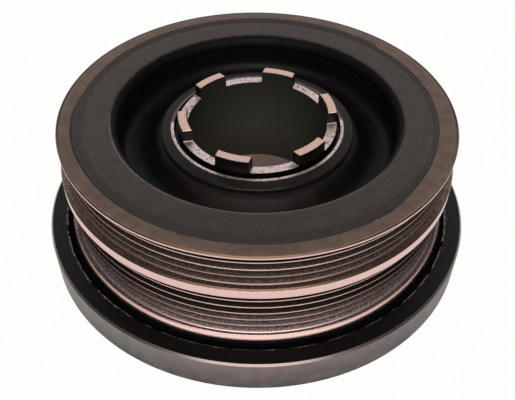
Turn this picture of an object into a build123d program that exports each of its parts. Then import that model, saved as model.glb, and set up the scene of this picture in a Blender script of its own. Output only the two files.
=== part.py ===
from build123d import *
import os
from math import atan2, cos, radians, sin, tan

# Crankshaft pulley of the decoupled kind, with a torsional vibration damper at its back.
# Millimetres. The pulley's axis is Z, its front (dished) side looks up, and Z = 0 is the
# plane that the inertia ring stands on. +X runs through the middle of one driving dog,
# and -Y through the middle of one slot between the dogs. Radii are built up from the bore
# outwards, and heights from the inertia ring upwards.

# Hub: a turned sleeve with driving dogs in front and a web clamped by the crankshaft bolt
bore_radius = 28.4
neck_wall = 3.9
dog_height = 5.0
dog_count = 6
dog_angle = 26.5
slot_corner_radius = 1.0
sleeve_wall = 7.6
shoulder_width = 3.5
shoulder_edge_height = 1.9
shoulder_edge_chamfer = 0.4
land_height = 2.8
land_width = 1.2
slot_rise = 1.2
relief_width = 1.8
relief_depth = 2.4
relief_root_radius = 0.6
bore_floor_fillet = 0.8
web_thickness = 9.0
bolt_hole_radius = 9.5
pilot_radius = 17.5
pilot_depth = 4.5
pilot_chamfer = 0.8

# Carrier dish: pressed from sheet, held under the hub's shoulder
sheet = 3.0
dish_seat_flat = 2.2
dish_step = 6.9
dish_slope_width = 6.5
dish_floor_flat = 1.5
dish_depth = 11.0
dish_knee_radius = 6.0
dish_floor_radius = 6.5
dish_corner_radius = 5.0

# Decoupling rubber: bonded between the dish's wall and the belt ring
rubber_thickness = 11.9
rubber_cover = 4.95
rubber_lip_radius = 4.0
rubber_foot_margin = 2.5
rubber_foot_hollow = 2.5
flash_thickness = 0.25
# Edge of the mould flash on the belt ring's top face, as the reach past the bond and the
# angle. It was trimmed back over the short stretch, and stands further out over the long one.
flash_long_edge = [
    (3.1, 122.0),
    (3.0, 140.0),
    (3.1, 167.0),
    (2.6, 190.0),
    (2.2, 215.0),
    (1.9, 240.0),
    (2.0, 249.0),
    (3.2, 259.0),
    (3.3, 270.0),
    (2.8, 286.0),
    (2.6, 310.0),
    (2.6, 335.0),
    (2.7, 360.0),
    (2.9, 388.0),
]
flash_short_edge = [
    (2.6, 390.5),
    (1.5, 400.0),
    (1.2, 410.0),
    (1.0, 421.0),
    (1.1, 433.0),
    (1.3, 450.0),
    (1.3, 465.0),
    (1.2, 480.5),
]

# Belt ring: two poly-V tracks of the 3.56 mm pitch section between three flanges
ring_wall = 6.5
rib_pitch = 3.56
groove_depth = 2.9
groove_angle = 40.0
crest_width = 0.5
upper_groove_count = 4
lower_groove_count = 6
track_step = 0.75
lip_rise = 0.4
top_flange_rise = 2.2
top_flange_height = 1.25
middle_flange_rise = 2.35
middle_flange_height = 3.7
bottom_flange_rise = 2.45
bottom_flange_height = 2.6
flange_bevel = 0.55
under_shoulder_fall = 0.55
bottom_shoulder_dip = 0.2
ring_edge_chamfer = 0.35
bond_foot_margin = 3.0
bond_mouth_chamfer = 0.8

# Slide bush: flanged plastic bearing that centres the belt ring on the damper hub
bush_length = 22.85
bush_wall = 2.0
bush_step = 1.0
bush_collar_width = 5.0
bush_collar_height = 2.15
bush_clearance = 0.05
bush_chamfer = 0.6

# Damper hub: the casting pressed on the sleeve, with the guide rim and the damper rim
boss_wall = 7.0
boss_seat_width = 2.0
boss_taper_height = 7.0
boss_projection = 0.5
web_height = 8.0
rear_web_recess = 3.0
guide_wall = 6.0
guide_end_margin = 1.0
damper_rim_margin = 2.8
damper_rim_wall = 7.0
damper_rim_drop = 0.2
damper_rim_lift = 1.0
damper_rim_chamfer = 0.4
casting_fillet = 3.0
casting_chamfer = 0.8

# Damper rubber and inertia ring
damper_rubber_thickness = 3.0
damper_rubber_recess = 0.6
damper_rubber_hollow = 0.8
inertia_width = 7.7
inertia_height = 15.2
inertia_top_chamfer = 0.8
inertia_bottom_chamfer = 0.5
inertia_mouth_chamfer = 0.7
inertia_foot_chamfer = 0.4

# Half the height of a belt track, from its middle to its lip
groove_flank = tan(radians(groove_angle / 2))
groove_mouth = (rib_pitch - crest_width) / 2
lip_reach = groove_mouth + lip_rise * groove_flank
upper_track_half = (upper_groove_count - 1) / 2 * rib_pitch + lip_reach
lower_track_half = (lower_groove_count - 1) / 2 * rib_pitch + lip_reach

# Heights, from the rear plane up to the dogs
damper_rim_top_z = inertia_height - damper_rim_drop
rear_web_z = damper_rim_lift + rear_web_recess
web_top_z = rear_web_z + web_height
hub_back_z = rear_web_z - boss_projection
bore_floor_z = hub_back_z + pilot_depth + web_thickness
ring_bottom_z = damper_rim_top_z + bush_collar_height
bottom_flange_z = ring_bottom_z + bottom_flange_height
lower_track_z = bottom_flange_z - bottom_shoulder_dip + lower_track_half
middle_flange_bottom_z = lower_track_z + lower_track_half + under_shoulder_fall + flange_bevel
middle_flange_top_z = middle_flange_bottom_z + middle_flange_height
upper_track_z = middle_flange_top_z + flange_bevel + upper_track_half
top_flange_z = upper_track_z + upper_track_half + flange_bevel
ring_top_z = top_flange_z + top_flange_height
bush_top_z = ring_bottom_z + bush_length
guide_top_z = bush_top_z + guide_end_margin
bond_foot_z = bush_top_z + bond_foot_margin
rubber_foot_z = bond_foot_z + rubber_foot_margin
rubber_top_z = ring_top_z + flash_thickness
dish_rim_z = rubber_top_z - rubber_cover
dish_floor_z = dish_rim_z - dish_depth
shoulder_seat_z = dish_floor_z + dish_step
boss_top_z = shoulder_seat_z - sheet
land_z = shoulder_seat_z + land_height
slot_floor_z = land_z + slot_rise
dog_top_z = slot_floor_z + dog_height

# Radii, from the bore out to the inertia ring. The dish's corners follow from its bends.
neck_radius = bore_radius + neck_wall
relief_radius = neck_radius + relief_width
land_radius = relief_radius + land_width
sleeve_radius = bore_radius + sleeve_wall
shoulder_radius = sleeve_radius + shoulder_width
boss_radius = sleeve_radius + boss_wall
dish_bend = tan(atan2(dish_step, dish_slope_width) / 2)
dish_seat_radius = sleeve_radius + dish_seat_flat + dish_knee_radius * dish_bend
dish_foot_radius = dish_seat_radius + dish_slope_width
dish_wall_radius = dish_foot_radius + dish_floor_radius * dish_bend + dish_floor_flat + dish_corner_radius
dish_outer_radius = dish_wall_radius + sheet
bond_radius = dish_outer_radius + rubber_thickness
flash_root_radius = bond_radius + bond_mouth_chamfer
upper_crest_radius = bond_radius + ring_wall
lower_crest_radius = upper_crest_radius + track_step
top_flange_radius = upper_crest_radius + top_flange_rise
middle_flange_radius = lower_crest_radius + middle_flange_rise
bottom_flange_radius = lower_crest_radius + bottom_flange_rise
bush_outer_radius = bond_radius + bush_step
bush_inner_radius = bush_outer_radius - bush_wall
bush_collar_radius = bush_outer_radius + bush_collar_width
guide_radius = bush_inner_radius - bush_clearance
damper_rim_radius = bush_collar_radius + damper_rim_margin
inertia_inner_radius = damper_rim_radius + damper_rubber_thickness
inertia_outer_radius = inertia_inner_radius + inertia_width

os.makedirs("parts", exist_ok=True)


def polar(radius, angle):
    """A point in the XY plane: the angle starts at -Y and grows towards +X."""
    return (radius * sin(radians(angle)), -radius * cos(radians(angle)))


def track_outline(middle_z, track_half, groove_count, crest_radius):
    """Section points down one belt track, four for each groove, from its upper lip to its
    lower lip. The crests are the short flats that stay between neighbouring grooves."""
    root_half = groove_mouth - groove_depth * groove_flank
    root_radius = crest_radius - groove_depth
    lip_radius = crest_radius + lip_rise
    first_z = middle_z + (groove_count - 1) / 2 * rib_pitch
    points = [(lip_radius, middle_z + track_half)]
    for index in range(groove_count):
        z = first_z - index * rib_pitch
        points += [(root_radius, z + root_half), (root_radius, z - root_half)]
        if index < groove_count - 1:
            points += [(crest_radius, z - groove_mouth), (crest_radius, z - rib_pitch + groove_mouth)]
    points += [(lip_radius, middle_z - track_half)]
    return points


def corner(sketch, radius, z):
    """The section's corner that lies nearest to a radius and a height."""
    return sketch.vertices().sort_by_distance((radius, z))[0]


# Hub: one revolved section, then the slots cut down between the dogs
with BuildPart() as hub:
    with BuildSketch(Plane.XZ) as hub_section:
        with BuildLine():
            Polyline(
                (bolt_hole_radius, bore_floor_z),
                (bore_radius, bore_floor_z),
                (bore_radius, dog_top_z),
                (neck_radius, dog_top_z),
                (neck_radius, land_z - relief_depth),
                (relief_radius, land_z - relief_depth),
                (relief_radius, land_z),
                (land_radius, land_z),
                (shoulder_radius, shoulder_seat_z + shoulder_edge_height),
                (shoulder_radius, shoulder_seat_z),
                (sleeve_radius, shoulder_seat_z),
                (sleeve_radius, hub_back_z),
                (pilot_radius, hub_back_z),
                (pilot_radius, hub_back_z + pilot_depth),
                (bolt_hole_radius, hub_back_z + pilot_depth),
                close=True,
            )
        make_face()
        fillet(corner(hub_section, bore_radius, bore_floor_z), bore_floor_fillet)
        fillet(corner(hub_section, neck_radius, land_z - relief_depth), relief_root_radius)
        fillet(corner(hub_section, relief_radius, land_z - relief_depth), relief_root_radius)
        chamfer(
            corner(hub_section, shoulder_radius, shoulder_seat_z + shoulder_edge_height),
            shoulder_edge_chamfer,
        )
        chamfer(corner(hub_section, pilot_radius, hub_back_z), pilot_chamfer)
        chamfer(corner(hub_section, sleeve_radius, hub_back_z), pilot_chamfer)
    revolve(axis=Axis.Z)
    with BuildSketch(Plane.XY.offset(slot_floor_z)):
        slot_half_angle = (360 / dog_count - dog_angle) / 2
        slot_reach = neck_radius + relief_width / 2
        slot_half_width = slot_reach * tan(radians(slot_half_angle))
        with PolarLocations(0, dog_count, start_angle=-90):
            Polygon((0, 0), (slot_reach, -slot_half_width), (slot_reach, slot_half_width), align=None)
    extrude(amount=dog_height, mode=Mode.SUBTRACT)
    slot_corners = (
        hub.edges()
        .filter_by(GeomType.LINE)
        .filter_by(lambda edge: abs(edge.center().Z - slot_floor_z) < 0.01)
    )
    fillet(slot_corners, slot_corner_radius)
hub.part.label = "hub"
export_step(hub.part, "parts/hub.step")

# Carrier dish: the sheet's upper face drawn from the seat to the rim, then one sheet thick
with BuildPart() as carrier_dish:
    with BuildSketch(Plane.XZ):
        with BuildLine():
            upper_face = FilletPolyline(
                (sleeve_radius, shoulder_seat_z),
                (dish_seat_radius, shoulder_seat_z),
                (dish_foot_radius, dish_floor_z),
                (dish_wall_radius, dish_floor_z),
                (dish_wall_radius, dish_rim_z),
                radius=[dish_knee_radius, dish_floor_radius, dish_corner_radius],
            )
            offset(upper_face, amount=sheet, side=Side.RIGHT, closed=True)
        make_face()
    revolve(axis=Axis.Z)
carrier_dish.part.label = "carrier_dish"
export_step(carrier_dish.part, "parts/carrier_dish.step")

# Belt ring: both belt tracks and all three flanges in one turned section
with BuildPart() as belt_ring:
    upper_track = track_outline(upper_track_z, upper_track_half, upper_groove_count, upper_crest_radius)
    lower_track = track_outline(lower_track_z, lower_track_half, lower_groove_count, lower_crest_radius)
    with BuildSketch(Plane.XZ) as ring_section:
        with BuildLine():
            Polyline(
                (bond_radius, ring_top_z),
                (top_flange_radius, ring_top_z),
                (top_flange_radius, top_flange_z),
                (top_flange_radius - flange_bevel, top_flange_z - flange_bevel),
                *upper_track,
                (middle_flange_radius - flange_bevel, middle_flange_top_z + flange_bevel),
                (middle_flange_radius, middle_flange_top_z),
                (middle_flange_radius, middle_flange_bottom_z),
                (middle_flange_radius - flange_bevel, middle_flange_bottom_z - flange_bevel),
                *lower_track,
                (bottom_flange_radius, bottom_flange_z),
                (bottom_flange_radius, ring_bottom_z),
                (bush_outer_radius, ring_bottom_z),
                (bush_outer_radius, bond_foot_z - bush_step),
                (bond_radius, bond_foot_z),
                close=True,
            )
        make_face()
        chamfer(corner(ring_section, top_flange_radius, ring_top_z), ring_edge_chamfer)
        chamfer(corner(ring_section, bond_radius, ring_top_z), bond_mouth_chamfer)
        chamfer(corner(ring_section, bottom_flange_radius, ring_bottom_z), ring_edge_chamfer)
        chamfer(corner(ring_section, bush_outer_radius, ring_bottom_z), bush_chamfer)
    revolve(axis=Axis.Z)
belt_ring.part.label = "belt_ring"
export_step(belt_ring.part, "parts/belt_ring.step")

# Decoupling rubber: a ring with a rolled lip over the dish's rim and a hollow foot, and on
# top of the belt ring a skin of mould flash with its own uneven edge
with BuildPart() as decoupling_rubber:
    with BuildSketch(Plane.XZ):
        with BuildLine():
            lip_top = (dish_wall_radius + rubber_lip_radius, rubber_top_z)
            lip_foot = (dish_wall_radius, rubber_top_z - rubber_lip_radius)
            foot_outer = (bond_radius, rubber_foot_z)
            foot_inner = (dish_outer_radius, rubber_foot_z)
            foot_middle = ((dish_outer_radius + bond_radius) / 2, rubber_foot_z + rubber_foot_hollow)
            Polyline(
                lip_top,
                (flash_root_radius, rubber_top_z),
                (flash_root_radius, ring_top_z),
                (bond_radius, ring_top_z - bond_mouth_chamfer),
                foot_outer,
            )
            ThreePointArc(foot_outer, foot_middle, foot_inner)
            Polyline(foot_inner, (dish_outer_radius, dish_rim_z), (dish_wall_radius, dish_rim_z), lip_foot)
            RadiusArc(lip_foot, lip_top, rubber_lip_radius)
        make_face()
    revolve(axis=Axis.Z)
    with BuildSketch(Plane.XY.offset(ring_top_z)):
        with BuildLine():
            long_edge = Spline([polar(bond_radius + reach, angle) for reach, angle in flash_long_edge])
            short_edge = Spline([polar(bond_radius + reach, angle) for reach, angle in flash_short_edge])
            Line(long_edge @ 1, short_edge @ 0)
            Line(short_edge @ 1, long_edge @ 0)
        make_face()
        Circle(bond_radius, mode=Mode.SUBTRACT)
    extrude(amount=flash_thickness)
decoupling_rubber.part.label = "decoupling_rubber"
export_step(decoupling_rubber.part, "parts/decoupling_rubber.step")

# Slide bush: the sleeve between belt ring and guide rim, with its thrust collar
with BuildPart() as slide_bush:
    with BuildSketch(Plane.XZ) as bush_section:
        with BuildLine():
            Polyline(
                (bush_inner_radius, damper_rim_top_z),
                (bush_collar_radius, damper_rim_top_z),
                (bush_collar_radius, ring_bottom_z),
                (bush_outer_radius, ring_bottom_z),
                (bush_outer_radius, bush_top_z),
                (bush_inner_radius, bush_top_z),
                close=True,
            )
        make_face()
        chamfer(corner(bush_section, bush_inner_radius, damper_rim_top_z), bush_chamfer)
        chamfer(corner(bush_section, bush_outer_radius, bush_top_z), bush_chamfer)
    revolve(axis=Axis.Z)
slide_bush.part.label = "slide_bush"
export_step(slide_bush.part, "parts/slide_bush.step")

# Damper hub: boss, web, guide rim and damper rim of one casting
with BuildPart() as damper_hub:
    with BuildSketch(Plane.XZ) as casting_section:
        with BuildLine():
            Polyline(
                (sleeve_radius, hub_back_z),
                (boss_radius, hub_back_z),
                (boss_radius, rear_web_z),
                (damper_rim_radius - damper_rim_wall, rear_web_z),
                (damper_rim_radius - damper_rim_wall, damper_rim_lift),
                (damper_rim_radius, damper_rim_lift),
                (damper_rim_radius, damper_rim_top_z),
                (guide_radius, damper_rim_top_z),
                (guide_radius, guide_top_z),
                (guide_radius - guide_wall, guide_top_z),
                (guide_radius - guide_wall, web_top_z),
                (boss_radius, web_top_z),
                (boss_radius, boss_top_z - boss_taper_height),
                (sleeve_radius + boss_seat_width, boss_top_z),
                (sleeve_radius, boss_top_z),
                close=True,
            )
        make_face()
        fillet(corner(casting_section, guide_radius - guide_wall, web_top_z), casting_fillet)
        fillet(corner(casting_section, boss_radius, web_top_z), casting_fillet)
        chamfer(corner(casting_section, guide_radius, guide_top_z), casting_chamfer)
        chamfer(corner(casting_section, damper_rim_radius, damper_rim_lift), damper_rim_chamfer)
        chamfer(corner(casting_section, sleeve_radius, hub_back_z), casting_chamfer)
    revolve(axis=Axis.Z)
damper_hub.part.label = "damper_hub"
export_step(damper_hub.part, "parts/damper_hub.step")

# Damper rubber: a thin ring squeezed between the damper rim and the inertia ring
with BuildPart() as damper_rubber:
    with BuildSketch(Plane.XZ):
        with BuildLine():
            band_top_z = damper_rim_top_z - damper_rubber_recess
            band_foot_z = damper_rim_lift + damper_rubber_recess
            band_middle = damper_rim_radius + damper_rubber_thickness / 2
            Line((inertia_inner_radius, band_foot_z), (inertia_inner_radius, band_top_z))
            ThreePointArc(
                (inertia_inner_radius, band_top_z),
                (band_middle, band_top_z - damper_rubber_hollow),
                (damper_rim_radius, band_top_z),
            )
            Line((damper_rim_radius, band_top_z), (damper_rim_radius, band_foot_z))
            ThreePointArc(
                (damper_rim_radius, band_foot_z),
                (band_middle, band_foot_z + damper_rubber_hollow),
                (inertia_inner_radius, band_foot_z),
            )
        make_face()
    revolve(axis=Axis.Z)
damper_rubber.part.label = "damper_rubber"
export_step(damper_rubber.part, "parts/damper_rubber.step")

# Inertia ring: a plain turned ring with broken edges
with BuildPart() as inertia_ring:
    with BuildSketch(Plane.XZ) as inertia_section:
        with Locations((inertia_inner_radius, 0)):
            Rectangle(inertia_width, inertia_height, align=Align.MIN)
        chamfer(corner(inertia_section, inertia_outer_radius, inertia_height), inertia_top_chamfer)
        chamfer(corner(inertia_section, inertia_outer_radius, 0), inertia_bottom_chamfer)
        chamfer(corner(inertia_section, inertia_inner_radius, inertia_height), inertia_mouth_chamfer)
        chamfer(corner(inertia_section, inertia_inner_radius, 0), inertia_foot_chamfer)
    revolve(axis=Axis.Z)
inertia_ring.part.label = "inertia_ring"
export_step(inertia_ring.part, "parts/inertia_ring.step")
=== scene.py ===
import math

import bmesh
import bpy
from mathutils import Matrix, Vector, noise


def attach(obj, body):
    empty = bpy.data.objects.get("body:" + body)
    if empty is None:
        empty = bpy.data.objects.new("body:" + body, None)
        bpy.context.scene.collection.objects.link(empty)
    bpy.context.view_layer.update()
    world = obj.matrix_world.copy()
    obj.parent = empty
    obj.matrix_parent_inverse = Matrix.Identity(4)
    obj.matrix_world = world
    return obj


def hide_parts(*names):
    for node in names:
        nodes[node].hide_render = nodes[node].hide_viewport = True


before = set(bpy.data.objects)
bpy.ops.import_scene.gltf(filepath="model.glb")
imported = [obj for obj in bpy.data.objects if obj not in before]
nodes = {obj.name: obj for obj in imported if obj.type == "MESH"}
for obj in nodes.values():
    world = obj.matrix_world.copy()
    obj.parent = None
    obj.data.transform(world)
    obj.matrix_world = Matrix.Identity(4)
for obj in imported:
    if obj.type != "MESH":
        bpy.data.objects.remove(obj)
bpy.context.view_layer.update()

MM = 0.001


# Camera. It stands in front of the pulley and looks down on it, and the small lens shift
# sets the object a little high in the picture. The focal length and the shifts are in the
# picture's pixels, the places in millimetres and the turns in degrees.
picture_width = 515
focal_length = 721.31
shift_right = 3.16
shift_up = 60.5
camera_back = 241.308
camera_up = 235.571
camera_turn = -12.5
camera_yaw = 0.1817
camera_tilt = 47.3812
camera_roll = 0.45
camera_data = bpy.data.cameras.new("camera")
camera_data.sensor_width = 36.0
camera_data.lens = focal_length / picture_width * camera_data.sensor_width
camera_data.shift_x = shift_right / picture_width
camera_data.shift_y = shift_up / picture_width
camera_data.clip_start = 0.01
camera = bpy.data.objects.new("camera", camera_data)
bpy.context.scene.collection.objects.link(camera)
camera.matrix_world = (
    Matrix.Rotation(math.radians(camera_turn), 4, "Z")
    @ Matrix.Translation((0, -camera_back * MM, camera_up * MM))
    @ Matrix.Rotation(math.radians(camera_yaw), 4, "Z")
    @ Matrix.Rotation(math.radians(90 - camera_tilt), 4, "X")
    @ Matrix.Rotation(math.radians(camera_roll), 4, "Z")
)
bpy.context.scene.camera = camera


# Floor: a large sheet of matt white card, laid flat under the pulley. To the camera it is
# an even white, with only a trace of the pulley's shadow.
def linear(colour):
    """A hex sRGB colour as linear RGBA."""
    channels = [int(colour[place:place + 2], 16) / 255 for place in (1, 3, 5)]
    steps = [c / 12.92 if c <= 0.04045 else ((c + 0.055) / 1.055) ** 2.4 for c in channels]
    return (*steps, 1.0)


def add(tree, kind, inputs=(), **settings):
    """Adds a node with its settings, and fills its inputs or links them to other nodes.

    A kind without the word Node in it is a shader node, or a math node in any tree. A number
    as a key counts the inputs that the settings leave in use.
    """
    made = tree.nodes.new(kind if "Node" in kind else "ShaderNode" + kind)
    for name, value in settings.items():
        setattr(made, name, value)
    in_use = [socket for socket in made.inputs if socket.enabled]
    for key, value in dict(inputs).items():
        socket = in_use[key] if isinstance(key, int) else next(each for each in in_use if each.name == key)
        if isinstance(value, bpy.types.Node):
            value = next(each for each in value.outputs if each.enabled)
        if isinstance(value, bpy.types.NodeSocket):
            tree.links.new(value, socket)
        else:
            socket.default_value = value
    return made


def new_material(name):
    """An empty node material, and its tree."""
    material = bpy.data.materials.new(name)
    material.use_nodes = True
    material.node_tree.nodes.clear()
    return material, material.node_tree


white_share = 0.97
floor_size = 4.0
floor_z = -0.1 * MM
card, tree = new_material("matt_white_card")
path = add(tree, "LightPath")
seen = add(tree, "Math", {0: path.outputs["Is Camera Ray"], 1: path.outputs["Is Glossy Ray"]})
seen = add(tree, "Math", {0: seen, 1: path.outputs["Is Transmission Ray"]}, use_clamp=True)
share = add(tree, "Math", {0: seen, 1: white_share}, operation="MULTIPLY")
paper = add(tree, "BsdfDiffuse", {"Color": linear("#F6F5F3")})
glow = add(tree, "Emission", {"Color": linear("#FFFFFE"), "Strength": 1.0})
surface = add(tree, "MixShader", {0: share, 1: paper, 2: glow})
add(tree, "OutputMaterial", {"Surface": surface})
floor_mesh = bpy.data.meshes.new("floor")
floor_mesh.from_pydata(
    [(-floor_size, -floor_size, floor_z), (floor_size, -floor_size, floor_z),
     (floor_size, floor_size, floor_z), (-floor_size, floor_size, floor_z)],
    [], [(0, 1, 2, 3)],
)
floor_mesh.materials.append(card)
floor = bpy.data.objects.new("floor", floor_mesh)
bpy.context.scene.collection.objects.link(floor)


# Light: one soft box in front and above, in a room whose floor and skirting are white. The
# walls and the ceiling are dark, so black paint stays black, and steel is bright in front.
to_right = Matrix.Rotation(math.radians(camera_turn), 3, "Z") @ Vector((1, 0, 0))
to_front = Matrix.Rotation(math.radians(camera_turn), 3, "Z") @ Vector((0, -1, 0))
to_top = Vector((0, 0, 1))
box_reach = 0.85
box_width = 1.1
box_depth = 0.9
box_radiance = 2.1
box_place = (to_front + to_top) * box_reach
lamp = bpy.data.lights.new("soft_box", "AREA")
lamp.shape = "RECTANGLE"
lamp.size = box_width
lamp.size_y = box_depth
lamp.energy = box_radiance * math.pi * box_width * box_depth
lamp.color = linear("#FFFDFA")[:3]
soft_box = bpy.data.objects.new("soft_box", lamp)
bpy.context.scene.collection.objects.link(soft_box)
soft_box.matrix_world = Matrix.Translation(box_place) @ box_place.to_track_quat("Z", "Y").to_matrix().to_4x4()


def banded(tree, along, bands):
    """Tones that change along a length, from pairs of a place on it and a linear colour."""
    low, low_tone = bands[0]
    high, high_tone = bands[-1]
    way = add(tree, "MapRange", {"Value": along, "From Min": low, "From Max": high})
    ramp = add(tree, "ValToRGB", {0: way})
    ramp.color_ramp.elements[0].color = low_tone
    ramp.color_ramp.elements[1].color = high_tone
    for place, tone in bands[1:-1]:
        ramp.color_ramp.elements.new((place - low) / (high - low)).color = tone
    return ramp


# The room's brightness by the height of a direction, from level to straight up, on the
# walls before and behind the camera and on those beside it.
long_walls = [(0.0, 1.0), (0.12, 0.95), (0.30, 0.72), (0.70, 0.70), (1.0, 0.16)]
side_walls = [(0.0, 0.9), (0.06, 0.5), (0.20, 0.12), (0.70, 0.08), (1.0, 0.14)]
side_from = 0.35
side_full = 0.8
world = bpy.data.worlds.new("dark_room")
world.use_nodes = True
tree = world.node_tree
tree.nodes.clear()
way = add(tree, "TexCoord").outputs["Generated"]
upward = add(tree, "SeparateXYZ", {0: way}).outputs["Z"]
sideways = add(tree, "VectorMath", {0: way, 1: to_right}, operation="DOT_PRODUCT")
sideways = add(tree, "Math", {0: sideways}, operation="ABSOLUTE")
sideways = add(tree, "MapRange", {"Value": sideways, "From Min": side_from, "From Max": side_full},
               interpolation_type="SMOOTHSTEP")
walls = [banded(tree, upward, [(height, (level, level, level, 1.0)) for height, level in levels])
         for levels in (long_walls, side_walls)]
room = add(tree, "Mix", {0: sideways, "A": walls[0], "B": walls[1]}, data_type="RGBA")
path = add(tree, "LightPath").outputs["Is Camera Ray"]
room = add(tree, "Mix", {0: path, "A": room, "B": linear("#FFFFFE")}, data_type="RGBA")
backdrop = add(tree, "Background", {"Color": room, "Strength": 1.0})
add(tree, "OutputWorld", {"Surface": backdrop})
bpy.context.scene.world = world
bpy.context.scene.view_settings.view_transform = "Standard"


# Hub: a turned steel sleeve with six driving dogs, blackened all over. Then the dogs' tops,
# the slots between them and a narrow land on the shoulder were cut bright, and the mill
# left a coarse grain in the slots.
def around(tree):
    """A place on a piece in millimetres: where it is, how far from the axis and how high."""
    metres = add(tree, "TexCoord").outputs["Object"]
    spot = add(tree, "VectorMath", {0: metres, "Scale": 1 / MM}, operation="SCALE")
    split = add(tree, "SeparateXYZ", {0: spot})
    flat = add(tree, "CombineXYZ", {0: split.outputs["X"], 1: split.outputs["Y"]})
    radius = add(tree, "VectorMath", {0: flat}, operation="LENGTH")
    return spot, radius, split.outputs["Z"]


def between(tree, along, low, high, edge):
    """A mask for the stretch from low to high on a length, which fades over the edge's width."""
    rise = add(tree, "MapRange", {"Value": along, "From Min": low - edge / 2, "From Max": low + edge / 2})
    fall = add(tree, "MapRange", {"Value": along, "From Min": high + edge / 2, "From Max": high - edge / 2})
    return add(tree, "Math", {0: rise, 1: fall}, operation="MULTIPLY")


def keep(name, mesh, material, node):
    """Makes a finished mesh the piece that stands for a CAD node."""
    mesh.materials.clear()
    mesh.materials.append(material)
    piece = bpy.data.objects.new(name, mesh)
    bpy.context.scene.collection.objects.link(piece)
    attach(piece, "root")
    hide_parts(node)


bore_radius = 28.4
neck_radius = 32.3
dogs_top = 62.08
slot_floor = 57.08
bore_floor = 17.08
land_height = 55.88
land_inner = 34.1
land_outer = 35.32
land_ragged = 1.3
land_shade_from = 9.5
land_shade_share = 0.15
dog_chamfer = 0.3
dark_chamfer = 0.28
cut_edge = 0.08
cut_reach = 0.2
slot_reach = 0.245
slot_edge = 0.15

# Blackened steel, cut bright: the black is nearly matt and a little uneven, and the cuts
# are pale, warm steel. The land's outer edge is ragged, where the cut ran out. Towards the
# back, behind the neck, most of the land is left black as painted shade. The turned streaks
# and the mill's grain are finer on the real hub. They are drawn as coarse as they need to show.
mill_grain = 0.55
turned_streak = 0.5
scale_patch = 1.7
hub_finish, tree = new_material("blackened_steel_cut_bright")
spot, radius, z = around(tree)
grain = add(tree, "TexNoise", {"Vector": spot, "Scale": 1 / mill_grain, "Detail": 2.0})
patch = add(tree, "TexNoise", {"Vector": spot, "Scale": 1 / scale_patch, "Detail": 4.0, "Roughness": 0.7})
dog_top = between(tree, z, dogs_top - 0.18, dogs_top + cut_reach, cut_edge)
dog_band = between(tree, radius, bore_radius + dark_chamfer, neck_radius - dark_chamfer, cut_edge)
dog_cut = add(tree, "Math", {0: dog_top, 1: dog_band}, operation="MULTIPLY")
slot_level = between(tree, z, slot_floor - cut_edge, slot_floor + slot_reach, slot_edge)
slot_band = between(tree, radius, bore_radius + 0.06, neck_radius - 0.06, cut_edge)
slot_cut = add(tree, "Math", {0: slot_level, 1: slot_band}, operation="MULTIPLY")
ragged = add(tree, "Math", {0: patch, 1: land_ragged, 2: radius}, operation="MULTIPLY_ADD")
land_end = land_outer + land_ragged / 2
land_out = add(tree, "MapRange", {
    "Value": ragged, "From Min": land_end + cut_edge / 2, "From Max": land_end - cut_edge / 2,
})
land_in = add(tree, "MapRange", {
    "Value": radius, "From Min": land_inner - cut_edge / 2, "From Max": land_inner + cut_edge / 2,
})
land_level = between(tree, z, land_height - cut_reach, land_height + cut_reach, cut_edge)
# Painted shade: towards the back, behind the neck, most of the land is left black.
rearward = add(tree, "VectorMath", {0: spot, 1: -to_front - 0.05 * to_right}, operation="DOT_PRODUCT")
rearward = add(tree, "Math", {0: patch, 1: 14.0, 2: rearward}, operation="MULTIPLY_ADD")
land_cut_and_shade = add(tree, "MapRange", {
    "Value": rearward, "From Min": land_shade_from + 0.5, "From Max": land_shade_from - 0.5,
    "To Min": land_shade_share,
})
for limit in (land_out, land_in, land_level):
    land_cut_and_shade = add(tree, "Math", {0: land_cut_and_shade, 1: limit}, operation="MULTIPLY")
spots = add(tree, "MapRange", {"Value": patch, "From Min": 0.38, "From Max": 0.47})
specks = add(tree, "MapRange", {"Value": grain, "From Min": 0.34, "From Max": 0.46})
milled = add(tree, "Mix", {0: spots, "A": linear("#8A736E"), "B": linear("#FFEBE6")}, data_type="RGBA")
milled = add(tree, "Mix", {0: specks, "A": linear("#CBADA7"), "B": milled}, data_type="RGBA")
outward = add(tree, "CombineXYZ", {0: radius})
streaks = add(tree, "TexNoise", {"Vector": outward, "Scale": 1 / turned_streak, "Detail": 1.0})
streaks = add(tree, "Math", {0: streaks, 1: 0.7, 2: grain}, operation="MULTIPLY_ADD")
streaks = add(tree, "MapRange", {"Value": streaks, "From Min": 0.65, "From Max": 1.05})
turned = add(tree, "Mix", {0: streaks, "A": linear("#EFB9A4"), "B": linear("#FFEADC")}, data_type="RGBA")
rough_cut = add(tree, "Math", {0: slot_cut, 1: land_cut_and_shade}, operation="MAXIMUM")
bright = add(tree, "Mix", {0: rough_cut, "A": turned, "B": milled}, data_type="RGBA")
cut = add(tree, "Math", {0: dog_cut, 1: rough_cut}, operation="MAXIMUM")
down_bore = add(tree, "MapRange", {"Value": z, "From Min": 62.0, "From Max": 30.0})
bore = add(tree, "Mix", {0: down_bore, "A": linear("#282722"), "B": linear("#48463D")}, data_type="RGBA")
mottle = add(tree, "MapRange", {"Value": patch, "From Min": 0.35, "From Max": 0.7})
neck = add(tree, "Mix", {0: mottle, "A": linear("#040404"), "B": linear("#0C0A0A")}, data_type="RGBA")
shoulder = add(tree, "Mix", {0: mottle, "A": linear("#100F0E"), "B": linear("#221F1D")}, data_type="RGBA")
on_shoulder = add(tree, "MapRange", {
    "Value": radius, "From Min": land_inner + 0.1, "From Max": land_inner + 0.2,
})
black = add(tree, "Mix", {0: on_shoulder, "A": neck, "B": shoulder}, data_type="RGBA")
outside = add(tree, "MapRange", {
    "Value": radius, "From Min": bore_radius + 0.05, "From Max": bore_radius + 0.2,
})
black = add(tree, "Mix", {0: outside, "A": bore, "B": black}, data_type="RGBA")
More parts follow.
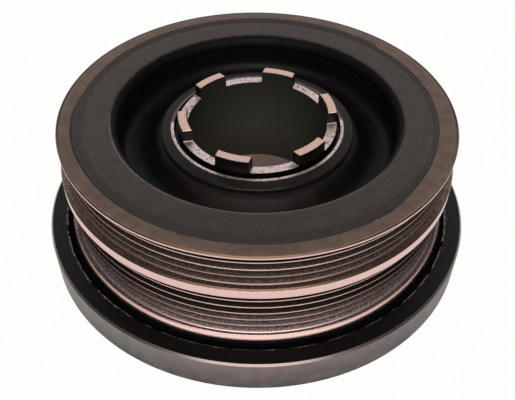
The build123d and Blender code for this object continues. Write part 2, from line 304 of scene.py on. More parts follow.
at_floor = add(tree, "MapRange", {"Value": z, "From Min": bore_floor + 0.32, "From Max": bore_floor + 0.02})
black = add(tree, "Mix", {0: at_floor, "A": black, "B": linear("#A58D84")}, data_type="RGBA")
colour = add(tree, "Mix", {0: cut, "A": black, "B": bright}, data_type="RGBA")
gloss = add(tree, "MapRange", {"Value": cut, "To Min": 0.42, "To Max": 0.48})
bump = add(tree, "Bump", {"Height": patch, "Strength": 0.22, "Distance": 0.2 * MM})
surface = add(tree, "BsdfPrincipled", {
    "Base Color": colour, "Metallic": cut, "Roughness": gloss, "Specular IOR Level": 0.22, "Normal": bump,
})
add(tree, "OutputMaterial", {"Surface": surface})

# The dogs have parallel sides, because a straight cutter made the slots, and a small
# chamfer round their tops. The angles are in degrees.
dog_spacing = 60.0
dog_half_angle = 13.25
dog_half_width = 6.8
slot_fillet_angle = 2.5
weld_gap = 0.002
dogs_from = 57.0
hub_mesh = nodes["hub"].data.copy()
hub_mesh.name = "hub_cut_bright"
build = bmesh.new()
build.from_mesh(hub_mesh)
bmesh.ops.remove_doubles(build, verts=build.verts, dist=weld_gap * MM)
for vert in build.verts:
    reach = math.hypot(vert.co.x, vert.co.y)
    if vert.co.z < dogs_from * MM or not (bore_radius - 0.4) * MM < reach < (neck_radius + 0.3) * MM:
        continue
    angle = math.degrees(math.atan2(vert.co.y, vert.co.x))
    dog = dog_spacing * round(angle / dog_spacing)
    from_dog = abs(angle - dog)
    squared = math.degrees(math.asin(dog_half_width * MM / reach)) - dog_half_angle
    share = min(from_dog / dog_half_angle, 1.0)
    share = min(share, (dog_spacing / 2 - from_dog) / (dog_spacing / 2 - dog_half_angle - slot_fillet_angle))
    moved = math.radians(dog + math.copysign(from_dog + squared * share, angle - dog))
    vert.co.x = reach * math.cos(moved)
    vert.co.y = reach * math.sin(moved)
dogs = [face for face in build.faces if face.calc_center_median().z > (dogs_from + 0.05) * MM]
bmesh.ops.dissolve_limit(
    build, angle_limit=math.radians(0.5), verts=list({vert for face in dogs for vert in face.verts}),
    edges=list({edge for face in dogs for edge in face.edges}),
)
sharp = [edge for edge in build.edges if min(vert.co.z for vert in edge.verts) > (dogs_top - cut_edge) * MM
         and edge.calc_face_angle(0) > 1.0]
bmesh.ops.bevel(build, geom=sharp, offset=dog_chamfer * MM, segments=1, affect="EDGES")
bmesh.ops.recalc_face_normals(build, faces=build.faces)
for face in build.faces:
    face.smooth = True
for edge in build.edges:
    edge.smooth = edge.calc_face_angle(4) < math.radians(30)
build.to_mesh(hub_mesh)
build.free()
keep("hub_cut_bright", hub_mesh, hub_finish, "hub")


# Carrier dish: deep-drawn steel sheet under black paint. It is fixed to the hub inside, and
# its outer wall carries the rubber.
def dress(node, material):
    """Gives a CAD node one material."""
    nodes[node].data.materials.clear()
    nodes[node].data.materials.append(material)


# Black satin paint: deep black with a soft sheen and faint brown stains. Towards the front
# the brown grows stronger, as a painted reflection.
stain_size = 11.0
dish_paint, tree = new_material("black_satin_paint")
spot = around(tree)[0]
stain = add(tree, "TexNoise", {"Vector": spot, "Scale": 1 / stain_size, "Detail": 4.0, "Roughness": 0.6})
stained = add(tree, "MapRange", {"Value": stain, "From Min": 0.45, "From Max": 0.7, "To Min": 0.5})
# Painted reflection: the brown of the stains grows towards the front.
frontward = add(tree, "VectorMath", {0: spot, 1: to_front}, operation="DOT_PRODUCT")
lighter_share = add(tree, "MapRange", {"Value": frontward, "From Min": 25.0, "From Max": 50.0, "To Min": 0.15})
lighter_share = add(tree, "Math", {0: stained, 1: lighter_share}, operation="MULTIPLY")
colour = add(tree, "Mix", {0: lighter_share, "A": linear("#080808"), "B": linear("#312A26")}, data_type="RGBA")
gloss = add(tree, "MapRange", {
    "Value": stain, "From Min": 0.3, "From Max": 0.7, "To Min": 0.35, "To Max": 0.5,
})
surface = add(tree, "BsdfPrincipled", {
    "Base Color": colour, "Roughness": gloss, "Specular IOR Level": 0.15,
})
add(tree, "OutputMaterial", {"Surface": surface})
dress("carrier_dish", dish_paint)


# Decoupling rubber: a ring moulded and bonded between dish and belt ring. It has a rolled
# lip inside, and outside a skin of flash with the mould's fine lines in it and a torn edge.
rubber_steps = 600
rubber_top = 62.13
ring_top = 61.882
ring_bore_chamfer = 72.298
bond = 71.498
bond_top = 61.082
dish_wall = 56.598
dish_outer = 59.598
dish_rim = 57.182
lip_radius = 4.0
rubber_rear = 45.5
rear_hollow = 2.5
face_places = (62.0, 64.0, 66.0, 68.0, 69.6)
mould_lines = (70.5, 71.3, 72.2, 73.3)
ridge = ((-0.30, 0.20), (-0.10, 0.02), (0.10, 0.02), (0.30, 0.20))

# How far the flash reaches past the bond, in millimetres, and at which angle in degrees.
flash_start = 122.0
flash_edge = [
    (3.1, 122.0), (3.0, 140.0), (3.1, 167.0), (2.6, 190.0), (2.2, 215.0), (1.9, 240.0), (2.0, 249.0),
    (3.2, 259.0), (3.3, 270.0), (2.8, 286.0), (2.6, 310.0), (2.6, 335.0), (2.7, 360.0), (2.9, 388.0),
    (2.6, 390.5), (1.5, 400.0), (1.2, 410.0), (1.0, 421.0), (1.1, 433.0), (1.3, 450.0), (1.3, 465.0),
    (1.2, 480.5), (3.1, 482.0),
]


def ring_place(angle):
    """A place on a ring of radius 1 at an angle in degrees, where the moulding's noise is read."""
    return Vector((math.sin(math.radians(angle)), math.cos(math.radians(angle)), 0.0))


def flash_reach(angle):
    """How far the flash reaches past the bond at an angle in degrees, with its tears."""
    turned = flash_start + (angle - flash_start) % 360.0
    for (low, start), (high, end) in zip(flash_edge, flash_edge[1:]):
        if start <= turned <= end:
            reach = low + (high - low) * (turned - start) / (end - start)
            break
    tear = noise.noise(ring_place(angle) * 34.0)
    nick = noise.noise(ring_place(angle) * 22.0 + Vector((0, 0, 5.0)))
    return reach + 0.12 * tear - 1.6 * max(0.0, nick - 0.34)


def rubber_section(angle):
    """Section of the rubber at an angle, from the dish's rim over the top and back below."""
    edge = bond + flash_reach(angle)
    points = [(dish_wall, dish_rim), (dish_wall, rubber_top - lip_radius)]
    for step in range(1, 9):
        turn = math.radians(90 * step / 8)
        points.append((dish_wall + lip_radius * (1 - math.cos(turn)),
                       rubber_top - lip_radius + lip_radius * math.sin(turn) - 0.03))
    for place in face_places:
        swell = 0.05 * noise.noise(ring_place(angle) * 9.0 + Vector((0, 0, place)))
        points.append((place, rubber_top - 0.06 + swell))
    for line in mould_lines:
        for aside, drop in ridge:
            points.append((min(line + aside, edge - 0.10), rubber_top - drop))
    points += [(edge - 0.05, rubber_top - 0.10), (edge, ring_top + 0.02), (edge - 0.02, ring_top)]
    points += [(ring_bore_chamfer, ring_top), (bond, bond_top), (bond, rubber_rear)]
    for step in range(1, 6):
        across = step / 6
        points.append((bond + (dish_outer - bond) * across,
                       rubber_rear + rear_hollow * math.sin(math.pi * across)))
    return points + [(dish_outer, rubber_rear), (dish_outer, dish_rim)]


build = bmesh.new()
rings = []
for step in range(rubber_steps):
    angle = 360.0 * step / rubber_steps
    across = math.sin(math.radians(angle))
    along = -math.cos(math.radians(angle))
    section = rubber_section(angle)
    rings.append([build.verts.new((r * across * MM, r * along * MM, h * MM)) for r, h in section])
for ring, following in zip(rings, rings[1:] + rings[:1]):
    for place in range(len(ring)):
        after = (place + 1) % len(ring)
        build.faces.new((ring[place], following[place], following[after], ring[after]))
bmesh.ops.remove_doubles(build, verts=build.verts, dist=0.004 * MM)
bmesh.ops.recalc_face_normals(build, faces=build.faces)
for face in build.faces:
    face.smooth = True
rubber_mesh = bpy.data.meshes.new("decoupling_rubber_moulded")
build.to_mesh(rubber_mesh)
build.free()

# Dry moulded rubber: a dusty dark grey with fine cracks in its skin, and darker grooves
# between the mould's lines. The front is darker, as painted shade, its lip has a thin painted
# highlight at the front, and inside the lip the rubber is as black as the dish.
skin_patch = 4.0
skin_grain = 0.7
crack_spacing = 3.2
lip_highlight_band = (58.65, 59.35)
mould_tones = [
    (69.9, 1.0), (70.2, 0.35), (70.5, 1.0), (70.9, 0.35), (71.3, 1.0), (71.75, 0.35), (72.2, 1.0),
    (72.75, 0.3), (73.3, 1.0), (73.8, 0.4),
]
ring_rubber, tree = new_material("dry_moulded_rubber")
spot, radius = around(tree)[:2]
dust = add(tree, "TexNoise", {
    "Vector": spot, "Scale": 1 / skin_patch, "Detail": 5.0, "Roughness": 0.65, "Distortion": 1.5,
})
skin = add(tree, "TexNoise", {"Vector": spot, "Scale": 1 / skin_grain, "Detail": 2.0})
lighter_share = add(tree, "MapRange", {"Value": dust, "From Min": 0.35, "From Max": 0.65})
colour = add(tree, "Mix", {0: lighter_share, "A": linear("#3C332E"), "B": linear("#4D423C")}, data_type="RGBA")
cracks = add(tree, "TexVoronoi", {"Vector": spot, "Scale": 1 / crack_spacing}, feature="DISTANCE_TO_EDGE")
whole = add(tree, "MapRange", {"Value": cracks, "From Max": 0.05, "To Min": 0.5})
sound = add(tree, "MapRange", {"Value": dust, "From Min": 0.50, "From Max": 0.56})
whole = add(tree, "Math", {0: whole, 1: sound}, operation="MAXIMUM")
colour = add(tree, "Mix", {0: whole, "A": linear("#1F1C1B"), "B": colour}, data_type="RGBA")
mould = banded(tree, radius, [(place, (level, level, level, 1.0)) for place, level in mould_tones])
colour = add(tree, "Mix", {0: mould, "A": linear("#1D1B1A"), "B": colour}, data_type="RGBA")
# Painted shade: the rubber darkens towards the front.
frontward = add(tree, "VectorMath", {0: spot, 1: to_front}, operation="DOT_PRODUCT")
front_shade = add(tree, "MapRange", {"Value": frontward, "From Min": 25.0, "From Max": 62.0, "To Max": 0.38})
colour = add(tree, "Mix", {0: front_shade, "A": colour, "B": linear("#1C1816")}, data_type="RGBA")
# Painted highlight: a thin pale line along the lip, at the front only.
lip_highlight = between(tree, radius, *lip_highlight_band, 0.3)
lip_front = add(tree, "VectorMath", {0: spot, 1: to_front - 0.35 * to_right}, operation="DOT_PRODUCT")
lip_front = add(tree, "MapRange", {"Value": lip_front, "From Min": 15.0, "From Max": 40.0})
lip_highlight = add(tree, "Math", {0: lip_highlight, 1: lip_front}, operation="MULTIPLY")
colour = add(tree, "Mix", {0: lip_highlight, "A": colour, "B": linear("#A08D83")}, data_type="RGBA")
inside = add(tree, "Math", {0: dust, 1: 0.8, 2: radius}, operation="MULTIPLY_ADD")
inside = add(tree, "MapRange", {"Value": inside, "From Min": 60.0, "From Max": 59.0})
colour = add(tree, "Mix", {0: inside, "A": colour, "B": linear("#070707")}, data_type="RGBA")
sheen = add(tree, "MapRange", {"Value": inside, "To Min": 0.5, "To Max": 0.15})
gloss = add(tree, "MapRange", {"Value": skin, "To Min": 0.50, "To Max": 0.72})
bump = add(tree, "Bump", {"Height": skin, "Strength": 0.35, "Distance": 0.12 * MM})
surface = add(tree, "BsdfPrincipled", {
    "Base Color": colour, "Roughness": gloss, "Normal": bump, "Specular IOR Level": sheen,
})
add(tree, "OutputMaterial", {"Surface": surface})
keep("decoupling_rubber_moulded", rubber_mesh, ring_rubber, "decoupling_rubber")


# Belt ring: one steel ring, turned with two poly-V tracks between three flanges. The rubber
# holds it on the dish, and the slide bush centres it. One Geometry Nodes tree lays out both
# tracks from the pitch of the ribs, closes the section with the flanges, and sweeps it round.
rib_pitch = 3.56
groove_depth = 2.9
groove_angle = 40.0
crest_width = 0.46
lip_rise = 0.4
edge_rounding = 0.12
upper_middle = 53.0668
upper_crest = 77.998
lower_middle = 30.1256
lower_crest = 78.748
sweep_radius = 20.0
ring_sizes = [
    ("Rib Pitch", rib_pitch * MM), ("Groove Depth", groove_depth * MM),
    ("Crest Half", crest_width / 2 * MM), ("Lip Rise", lip_rise * MM), ("Edge Rounding", edge_rounding * MM),
    ("Flank Slope", 1 / math.tan(math.radians(groove_angle / 2))), ("Sweep Radius", sweep_radius * MM),
    ("Upper Middle", upper_middle * MM), ("Upper Crest", upper_crest * MM),
    ("Lower Middle", lower_middle * MM), ("Lower Crest", lower_crest * MM),
    ("Samples", 22), ("Upper Grooves", 4), ("Lower Grooves", 6), ("Steps Round", 320),
]
turning = bpy.data.node_groups.new("turned_belt_ring", "GeometryNodeTree")
turning.interface.new_socket("Geometry", in_out="OUTPUT", socket_type="NodeSocketGeometry")
turning.interface.new_socket("Flange Section", in_out="INPUT", socket_type="NodeSocketGeometry")
for name, value in ring_sizes:
    kind = "NodeSocketInt" if isinstance(value, int) else "NodeSocketFloat"
    turning.interface.new_socket(name, in_out="INPUT", socket_type=kind)
given = add(turning, "NodeGroupInput").outputs


def cut_track(middle, crest, grooves):
    """The line down one belt track: crests, flanks and roots follow from the pitch."""
    width = add(turning, "Math", {0: grooves, 1: given["Rib Pitch"]}, operation="MULTIPLY")
    half = add(turning, "Math", {0: width, 1: 0.5}, operation="MULTIPLY")
    half_pitch = add(turning, "Math", {0: given["Rib Pitch"], 1: 0.5}, operation="MULTIPLY")
    top = add(turning, "Math", {0: middle, 1: half})
    count = add(turning, "Math", {0: grooves, 1: given["Samples"], 2: 1.0}, operation="MULTIPLY_ADD")
    spacing = add(turning, "Math", {0: given["Rib Pitch"], 1: given["Samples"]}, operation="DIVIDE")
    down = add(turning, "Math", {0: spacing, 1: -1.0}, operation="MULTIPLY")
    start = add(turning, "CombineXYZ", {"Z": top})
    offset = add(turning, "CombineXYZ", {"Z": down})
    line = add(turning, "GeometryNodeMeshLine", {"Count": count, "Start Location": start, "Offset": offset},
               mode="OFFSET")
    place = add(turning, "GeometryNodeInputPosition")
    height = add(turning, "SeparateXYZ", {0: place}).outputs["Z"]
    below = add(turning, "Math", {0: top, 1: height}, operation="SUBTRACT")
    aside = add(turning, "Math", {0: below, 1: half_pitch}, operation="PINGPONG")
    aside = add(turning, "Math", {0: aside, 1: given["Crest Half"]}, operation="SUBTRACT")
    fall = add(turning, "Math", {0: aside, 1: given["Flank Slope"]}, operation="MULTIPLY")
    flank = add(turning, "Math", {0: crest, 1: fall}, operation="SUBTRACT")
    root = add(turning, "Math", {0: crest, 1: given["Groove Depth"]}, operation="SUBTRACT")
    groove = add(turning, "Math", {0: flank, 1: root, 2: given["Edge Rounding"]}, operation="SMOOTH_MAX")
    from_middle = add(turning, "Math", {0: height, 1: middle}, operation="SUBTRACT")
    from_middle = add(turning, "Math", {0: from_middle}, operation="ABSOLUTE")
    inner = add(turning, "Math", {0: half, 1: half_pitch}, operation="SUBTRACT")
    at_lip = add(turning, "Math", {0: from_middle, 1: inner}, operation="GREATER_THAN")
    limit = add(turning, "Math", {0: at_lip, 1: given["Lip Rise"], 2: crest}, operation="MULTIPLY_ADD")
    outline = add(turning, "Math", {0: groove, 1: limit, 2: given["Edge Rounding"]},
                  operation="SMOOTH_MIN")
    placed = add(turning, "CombineXYZ", {"X": outline, "Z": height})
    return add(turning, "GeometryNodeSetPosition", {"Geometry": line, "Position": placed})


upper_cut = cut_track(given["Upper Middle"], given["Upper Crest"], given["Upper Grooves"])
lower_cut = cut_track(given["Lower Middle"], given["Lower Crest"], given["Lower Grooves"])
joined = add(turning, "GeometryNodeJoinGeometry")
for line in (given["Flange Section"], upper_cut.outputs[0], lower_cut.outputs[0]):
    turning.links.new(line, joined.inputs[0])
closed = add(turning, "GeometryNodeMergeByDistance", {"Geometry": joined, "Distance": 0.08 * MM})
section_place = add(turning, "SeparateXYZ", {0: add(turning, "GeometryNodeInputPosition")})
outward = add(turning, "Math", {0: section_place.outputs["X"], 1: given["Sweep Radius"]},
              operation="SUBTRACT")
upward = add(turning, "Math", {0: section_place.outputs["Z"], 1: -1.0}, operation="MULTIPLY")
laid = add(turning, "CombineXYZ", {"X": outward, "Y": upward})
laid = add(turning, "GeometryNodeSetPosition", {"Geometry": closed, "Position": laid})
section_line = add(turning, "GeometryNodeMeshToCurve", {0: laid})
sweep = add(turning, "GeometryNodeCurvePrimitiveCircle", {
    "Resolution": given["Steps Round"], "Radius": given["Sweep Radius"],
})
swept = add(turning, "GeometryNodeCurveToMesh", {0: sweep, "Profile Curve": section_line})
real = add(turning, "GeometryNodeRealizeInstances", {0: swept})
ring_steel, tree = new_material("turned_steel_brown_film")
finish = add(turning, "GeometryNodeSetMaterial", {"Geometry": real, "Material": ring_steel})
add(turning, "NodeGroupOutput", {0: finish})

# The flanges' section in two lines, from lip to lip: one round the ring's top, bore and
# bottom, and one round the middle flange.
upper_lip = (78.36, 60.187)
upper_foot = (78.36, 45.947)
lower_lip = (79.11, 40.806)
lower_foot = (79.11, 19.446)
flange_lines = [
    [upper_lip, (79.648, 60.082), (80.198, 60.632), (80.198, 61.53), (79.85, ring_top),
     (ring_bore_chamfer, ring_top), (bond, bond_top), (bond, 43.0), (72.498, 42.0), (72.498, 17.75),
     (73.1, 17.15), (80.85, 17.15), (81.198, 17.45), (81.1, 17.8), (80.5, 19.5), (80.3, 19.7), lower_foot],
    [upper_foot, (80.45, 46.05), (81.0, 45.55), (81.098, 45.4), (81.098, 41.801), (80.548, 41.251),
     lower_lip],
]
section_points = []
section_edges = []
for line in flange_lines:
    first = len(section_points)
    section_points += [(r * MM, 0.0, h * MM) for r, h in line]
    section_edges += [(place, place + 1) for place in range(first, len(section_points) - 1)]
section_mesh = bpy.data.meshes.new("belt_ring_section")
section_mesh.from_pydata(section_points, section_edges, [])
ring_maker = bpy.data.objects.new("belt_ring_section", section_mesh)
bpy.context.scene.collection.objects.link(ring_maker)
lathe = ring_maker.modifiers.new("turning", "NODES")
lathe.node_group = turning
for item in turning.interface.items_tree:
    for name, value in ring_sizes:
        if item.in_out == "INPUT" and item.name == name:
            lathe[item.identifier] = value
ring_mesh = bpy.data.meshes.new_from_object(ring_maker.evaluated_get(bpy.context.evaluated_depsgraph_get()))
ring_maker.modifiers.clear()
bpy.data.objects.remove(ring_maker)
build = bmesh.new()
build.from_mesh(ring_mesh)
bmesh.ops.recalc_face_normals(build, faces=build.faces)
for face in build.faces:
    face.smooth = True
for edge in build.edges:
    edge.smooth = edge.calc_face_angle(4) <= math.radians(32)
build.to_mesh(ring_mesh)
build.free()

# Turned steel under a brown film: dull and speckled in the grooves. Its tone changes with
# height as painted light and shade, darkest high up, where no light comes in. The crests and
# the flanges are rubbed to clean, pinkish steel, and the bevels keep their brown. The crests,
# the lower track and the bottom flange are darker at the sides, as painted shade. The top
# face's outer rim carries a painted highlight at the front and painted shade at the back.
# Each flange is rubbed from a radius of its own outwards. The film's grain is finer on the
# real ring. It is drawn as coarse as it needs to show.
film_grain = 0.6
film_dullness = 0.68
smudge_size = 5.0
track_gap = 43.5
top_flange_foot = 58.0
low_flange_head = 25.0
top_flange_edge = 79.82
middle_flange_edge = 80.42
low_flange_edge = 80.35
film_and_shade_levels = [
    (17.0, "#E9D6D1"), (19.7, "#E9D6D1"), (20.2, "#AC948F"), (24.0, "#A88F8A"), (27.0, "#88766F"),
    (30.0, "#463B36"), (38.0, "#3E3531"), (46.0, "#C9AEA4"), (46.4, "#917D73"), (49.0, "#806F66"),
    (56.2, "#6A5B54"), (57.2, "#2A2421"), (60.3, "#1B1614"),
]
spot, radius, z = around(tree)
film = add(tree, "TexNoise", {"Vector": spot, "Scale": 1 / film_grain, "Detail": 3.0, "Roughness": 0.7})
# Painted light and shade: the tone changes with height, darkest high up.
levels = banded(tree, z, [(height, linear(tone)) for height, tone in film_and_shade_levels])
flecked = add(tree, "MapRange", {"Value": film, "From Min": 0.44, "From Max": 0.58})
dull = add(tree, "Mix", {0: film_dullness, "A": levels, "B": linear("#15110F")}, data_type="RGBA")
grooves = add(tree, "Mix", {0: flecked, "A": dull, "B": levels}, data_type="RGBA")
in_lower = add(tree, "Math", {0: z, 1: track_gap}, operation="LESS_THAN")
crest_at = add(tree, "MapRange", {
    "Value": in_lower, "To Min": upper_crest - 0.1, "To Max": lower_crest - 0.1,
})
past_crest = add(tree, "Math", {0: radius, 1: crest_at}, operation="SUBTRACT")
crest = between(tree, past_crest, 0.01, 0.56, 0.08)
at_top = add(tree, "Math", {0: z, 1: top_flange_foot}, operation="GREATER_THAN")
at_bottom = add(tree, "Math", {0: z, 1: low_flange_head}, operation="LESS_THAN")
flange_at = add(tree, "MapRange", {
    "Value": at_bottom, "To Min": middle_flange_edge, "To Max": low_flange_edge,
})
flange_at = add(tree, "Math", {0: at_top, 1: top_flange_edge - middle_flange_edge, 2: flange_at},
                operation="MULTIPLY_ADD")
past_flange = add(tree, "Math", {0: radius, 1: flange_at}, operation="SUBTRACT")
flange = add(tree, "MapRange", {"Value": past_flange, "From Min": -0.02, "From Max": 0.06})
clean = add(tree, "Math", {0: crest, 1: flange}, operation="MAXIMUM")
steel = add(tree, "Mix", {0: flecked, "A": linear("#E3C0B9"), "B": linear("#EBCAC4")}, data_type="RGBA")
nicked = add(tree, "Math", {0: film, 1: 0.5, 2: z}, operation="MULTIPLY_ADD")
bevel = add(tree, "MapRange", {"Value": nicked, "From Min": 45.68, "From Max": 45.78})
bevel = add(tree, "Math", {0: bevel, 1: flange}, operation="MULTIPLY")
bevel = add(tree, "Math", {0: bevel, 1: at_top}, operation="SUBTRACT", use_clamp=True)
rim_edge = add(tree, "MapRange", {"Value": nicked, "From Min": 61.50, "From Max": 61.62})
bevel = add(tree, "Math", {0: bevel, 1: rim_edge}, operation="MAXIMUM")
steel = add(tree, "Mix", {0: bevel, "A": steel, "B": linear("#715846")}, data_type="RGBA")
low_rim = add(tree, "Math", {0: at_bottom, 1: flange}, operation="MULTIPLY")
steel = add(tree, "Mix", {0: low_rim, "A": steel, "B": linear("#FFD3CB")}, data_type="RGBA")
# Painted shade: the crests, the lower track and the bottom flange darken towards the sides.
aside = add(tree, "VectorMath", {0: spot, 1: to_right}, operation="DOT_PRODUCT")
aside = add(tree, "Math", {0: aside}, operation="ABSOLUTE")
side_shade_and_last_crest = add(tree, "MapRange", {"Value": aside, "From Min": 30.0, "From Max": 75.0})
side_shaded_parts = add(tree, "Math", {0: z, 1: 40.0}, operation="LESS_THAN")
side_shaded_parts = add(tree, "Math", {0: side_shaded_parts, 1: crest}, operation="MAXIMUM")
side_shade_and_last_crest = add(tree, "Math", {0: side_shade_and_last_crest, 1: side_shaded_parts}, operation="MULTIPLY")
# The lowest crest of the upper track is darker too.
last_crest = add(tree, "MapRange", {"Value": z, "From Min": 51.0, "From Max": 50.5, "To Max": 0.6})
last_crest = add(tree, "Math", {0: last_crest, 1: crest}, operation="MULTIPLY")
last_crest = add(tree, "Math", {0: last_crest, 1: in_lower}, operation="SUBTRACT", use_clamp=True)
side_shade_and_last_crest = add(tree, "Math", {0: side_shade_and_last_crest, 1: last_crest}, operation="MAXIMUM")
steel = add(tree, "Mix", {0: side_shade_and_last_crest, "A": steel, "B": linear("#7C625A")}, data_type="RGBA")
colour = add(tree, "Mix", {0: clean, "A": grooves, "B": steel}, data_type="RGBA")
# Painted highlight and shade: the top face's outer rim is pale at the front and dark at the back.
frontward = add(tree, "VectorMath", {0: spot, 1: to_front}, operation="DOT_PRODUCT")
frontward = add(tree, "MapRange", {"Value": frontward, "From Min": 5.0, "From Max": 40.0})
rim = add(tree, "Mix", {0: frontward, "A": linear("#3A302B"), "B": linear("#B08A75")}, data_type="RGBA")
on_rim = add(tree, "MapRange", {"Value": radius, "From Min": 79.0, "From Max": 79.5})
top = add(tree, "Mix", {0: on_rim, "A": linear("#8B766B"), "B": rim}, data_type="RGBA")
filmed = add(tree, "MapRange", {
    "Value": film, "From Min": 0.3, "From Max": 0.7, "To Min": 0.30, "To Max": 0.0,
})
top = add(tree, "Mix", {0: filmed, "A": top, "B": linear("#4A3D37")}, data_type="RGBA")
smudge = add(tree, "TexNoise", {"Vector": spot, "Scale": 1 / smudge_size, "Detail": 3.0})
smudge = add(tree, "MapRange", {"Value": smudge, "From Min": 0.40, "From Max": 0.62, "To Max": 0.35})
top = add(tree, "Mix", {0: smudge, "A": top, "B": linear("#5C4E47")}, data_type="RGBA")
on_top = add(tree, "MapRange", {"Value": z, "From Min": ring_top - 0.08, "From Max": ring_top - 0.02})
colour = add(tree, "Mix", {0: on_top, "A": colour, "B": top}, data_type="RGBA")
gloss = add(tree, "MapRange", {"Value": clean, "To Min": 0.50, "To Max": 0.36})
gloss = add(tree, "Math", {0: low_rim, 1: -0.16, 2: gloss}, operation="MULTIPLY_ADD")
bump = add(tree, "Bump", {"Height": film, "Strength": 0.3, "Distance": 0.06 * MM})
surface = add(tree, "BsdfPrincipled", {
    "Base Color": colour, "Metallic": 1.0, "Roughness": gloss, "Normal": bump,
})
add(tree, "OutputMaterial", {"Surface": surface})
keep("belt_ring_turned", ring_mesh, ring_steel, "belt_ring")


# Slide bush: a moulded plastic bearing with a thrust collar, pressed into the belt ring's
# bore. It turns on the damper hub's guide rim by a few degrees.
cloud_size = 2.0

# Bearing plastic: an even, half-matt black, with a slight cloudiness from the moulding.
bush_plastic, tree = new_material("black_bearing_plastic")
cloud = add(tree, "TexNoise", {"Vector": around(tree)[0], "Scale": 1 / cloud_size, "Detail": 2.0})
colour = add(tree, "Mix", {0: cloud, "A": linear("#121211"), "B": linear("#1C1B1A")}, data_type="RGBA")
surface = add(tree, "BsdfPrincipled", {"Base Color": colour, "Roughness": 0.45})
add(tree, "OutputMaterial", {"Surface": surface})
dress("slide_bush", bush_plastic)


# Damper hub: an iron casting, machined where it is pressed on the sleeve. It carries the
# bush on one rim and the damper's rubber on the other.
sand_grain = 1.2

# Coated cast iron: a dull black whose skin shows the grain of the sand mould.
cast_black, tree = new_material("black_coated_cast_iron")
sand = add(tree, "TexNoise", {"Vector": around(tree)[0], "Scale": 1 / sand_grain, "Detail": 4.0})
colour = add(tree, "Mix", {0: sand, "A": linear("#0F0E0D"), "B": linear("#1F1C1B")}, data_type="RGBA")
bump = add(tree, "Bump", {"Height": sand, "Strength": 0.3, "Distance": 0.2 * MM})
surface = add(tree, "BsdfPrincipled", {"Base Color": colour, "Roughness": 0.55, "Normal": bump})
add(tree, "OutputMaterial", {"Surface": surface})
dress("damper_hub", cast_black)


# Damper rubber: a thin ring of black rubber, squeezed between the damper hub's rim and the
# inertia ring when the two are pressed together.
cloud_size = 3.0

# Pressed rubber: a matt black that gives back almost no light, so the joint is a dark line.
damper_rubber, tree = new_material("black_damper_rubber")
cloud = add(tree, "TexNoise", {"Vector": around(tree)[0], "Scale": 1 / cloud_size, "Detail": 2.0})
colour = add(tree, "Mix", {0: cloud, "A": linear("#050505"), "B": linear("#0A0909")}, data_type="RGBA")
surface = add(tree, "BsdfPrincipled", {
    "Base Color": colour, "Roughness": 0.95, "Specular IOR Level": 0.05,
})
add(tree, "OutputMaterial", {"Surface": surface})
dress("damper_rubber", damper_rubber)


# Inertia ring: a heavy ring of turned iron, pressed over the damper's rubber. Its front was
# sprayed black before the rim and the chamfer were turned bare.
ring_radius = 91.0
wall_height = 14.0
tear_radius = 84.78
tear_radius_left = 85.05

# Turned iron with a black front: the wall is a smoky grey with a soft sheen, the chamfer a
# pale line, and the coat is torn near its inner edge, where a hairline of bare iron shows.
# The tear lies a little further out at the left. The wall's grey changes from side to side
# as painted light and shade, and it is darker towards the bottom.
wall_light_across = [(-90.0, "#6E6E6A"), (-45.0, "#787571"), (0.0, "#7D6C6B"), (50.4, "#6F6866"), (90.0, "#575653")]
coat_tear = 1.6
smoke_size = 6.0
tear_size = 2.2
iron, tree = new_material("turned_iron_black_front")
spot, radius, z = around(tree)
smoke = add(tree, "TexNoise", {"Vector": spot, "Scale": 1 / smoke_size, "Detail": 5.0, "Roughness": 0.6})
tear = add(tree, "TexNoise", {"Vector": spot, "Scale": 1 / tear_size, "Detail": 4.0, "Roughness": 0.7})
left = add(tree, "SeparateXYZ", {0: spot})
left = add(tree, "MapRange", {"Value": left, "From Min": -66.0, "From Max": -76.0})
torn = add(tree, "Math", {0: tear, 1: coat_tear, 2: radius}, operation="MULTIPLY_ADD")
torn_to = add(tree, "MapRange", {"Value": left, "To Min": tear_radius, "To Max": tear_radius_left})
past_tear = add(tree, "Math", {0: torn, 1: torn_to}, operation="SUBTRACT")
coat = add(tree, "MapRange", {"Value": past_tear, "From Min": -0.05, "From Max": 0.05})
smear = add(tree, "MapRange", {"Value": past_tear, "From Min": -0.60, "From Max": -0.70})
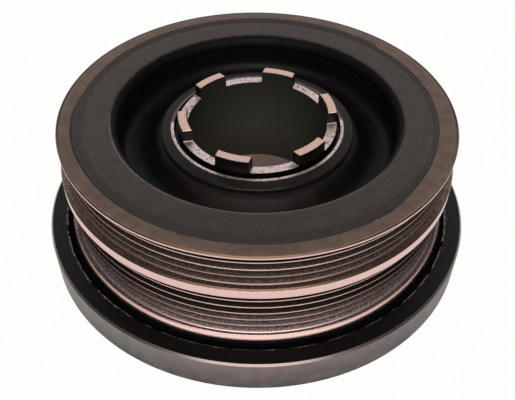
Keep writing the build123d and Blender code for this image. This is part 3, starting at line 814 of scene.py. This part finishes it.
bridge = add(tree, "MapRange", {"Value": smoke, "From Min": 0.50, "From Max": 0.55})
for more in (smear, bridge):
    coat = add(tree, "Math", {0: coat, 1: more}, operation="MAXIMUM")
hairline = add(tree, "Mix", {0: left, "A": linear("#A2938A"), "B": linear("#8A7B74")}, data_type="RGBA")
front = add(tree, "Mix", {0: coat, "A": hairline, "B": linear("#0A0909")}, data_type="RGBA")
on_front = add(tree, "MapRange", {
    "Value": z, "From Min": wall_height + 0.35, "From Max": wall_height + 0.45,
})
on_chamfer = add(tree, "MapRange", {
    "Value": radius, "From Min": ring_radius - 0.85, "From Max": ring_radius - 0.75,
})
# Painted light and shade: the wall's grey changes from side to side. It also darkens towards the bottom.
up_wall = add(tree, "MapRange", {"Value": z, "From Min": 0.0, "From Max": wall_height})
across = add(tree, "VectorMath", {0: spot, 1: to_right}, operation="DOT_PRODUCT")
wall = banded(tree, across, [(place, linear(tone)) for place, tone in wall_light_across])
wall = add(tree, "Mix", {0: up_wall, "A": linear("#443B3C"), "B": wall}, data_type="RGBA")
smoky = add(tree, "MapRange", {"Value": smoke, "From Min": 0.35, "From Max": 0.65, "To Max": 0.25})
wall = add(tree, "Mix", {0: smoky, "A": wall, "B": linear("#94898A")}, data_type="RGBA")
front = add(tree, "Mix", {0: on_chamfer, "A": front, "B": linear("#94837F")}, data_type="RGBA")
colour = add(tree, "Mix", {0: on_front, "A": wall, "B": front}, data_type="RGBA")
chamfer = add(tree, "Math", {0: on_front, 1: on_chamfer}, operation="MULTIPLY")
coated = add(tree, "Math", {0: on_front, 1: chamfer}, operation="SUBTRACT")
bare = add(tree, "Math", {0: 1.0, 1: coated}, operation="SUBTRACT")
sheen = add(tree, "MapRange", {"Value": coated, "To Min": 0.5, "To Max": 0.25})
gloss = add(tree, "MapRange", {"Value": chamfer, "To Min": 0.46, "To Max": 0.28})
surface = add(tree, "BsdfPrincipled", {
    "Base Color": colour, "Metallic": bare, "Roughness": gloss, "Specular IOR Level": sheen,
})
add(tree, "OutputMaterial", {"Surface": surface})
dress("inertia_ring", iron)
